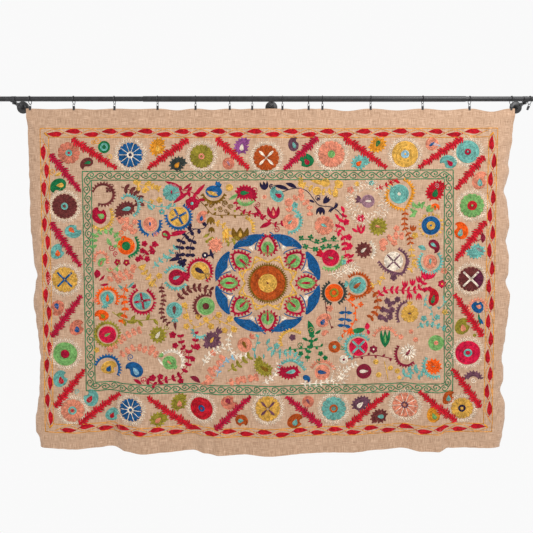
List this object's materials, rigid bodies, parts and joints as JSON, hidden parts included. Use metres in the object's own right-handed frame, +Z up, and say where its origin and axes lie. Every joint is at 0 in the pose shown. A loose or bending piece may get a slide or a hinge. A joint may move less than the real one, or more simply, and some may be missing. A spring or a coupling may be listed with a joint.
{
  "type": "suzani embroidered textile with curtain rod",
  "caption": "Wall hanging of linen with suzani flower and leaf embroidery, clipped by rings to a telescopic black curtain rod on wall brackets.",
  "frame": {"origin": "middle of the centre bracket's back face, where it meets the wall", "axes": "+X along the rod to the viewer's right, +Y into the wall, +Z up"},
  "size_m": [2.477, 0.1273, 1.6448],
  "materials": {
    "linen": "natural linen in plain weave, embroidered in satin and chain stitch",
    "black_enamel": "satin black enamel on steel"
  },
  "bodies": {
    "root": {"arm_centre": "black_enamel", "arm_left": "black_enamel", "arm_right": "black_enamel", "cap_left": "black_enamel", "cap_right": "black_enamel", "clip_01": "black_enamel", "clip_02": "black_enamel", "clip_03": "black_enamel", "clip_04": "black_enamel", "clip_05": "black_enamel", "clip_06": "black_enamel", "clip_07": "black_enamel", "clip_08": "black_enamel", "clip_09": "black_enamel", "clip_10": "black_enamel", "clip_11": "black_enamel", "clip_12": "black_enamel", "clip_13": "black_enamel", "clip_14": "black_enamel", "clip_15": "black_enamel", "cloth": "linen", "plate_centre": "black_enamel", "plate_left": "black_enamel", "plate_right": "black_enamel", "ring_01": "black_enamel", "ring_02": "black_enamel", "ring_03": "black_enamel", "ring_04": "black_enamel", "ring_05": "black_enamel", "ring_06": "black_enamel", "ring_07": "black_enamel", "ring_08": "black_enamel", "ring_09": "black_enamel", "ring_10": "black_enamel", "ring_11": "black_enamel", "ring_12": "black_enamel", "ring_13": "black_enamel", "ring_14": "black_enamel", "ring_15": "black_enamel", "rod_left": "black_enamel", "rod_main": "black_enamel", "rod_right": "black_enamel", "screw_centre": "black_enamel", "screw_left": "black_enamel", "screw_right": "black_enamel"}
  },
  "joints": []
}
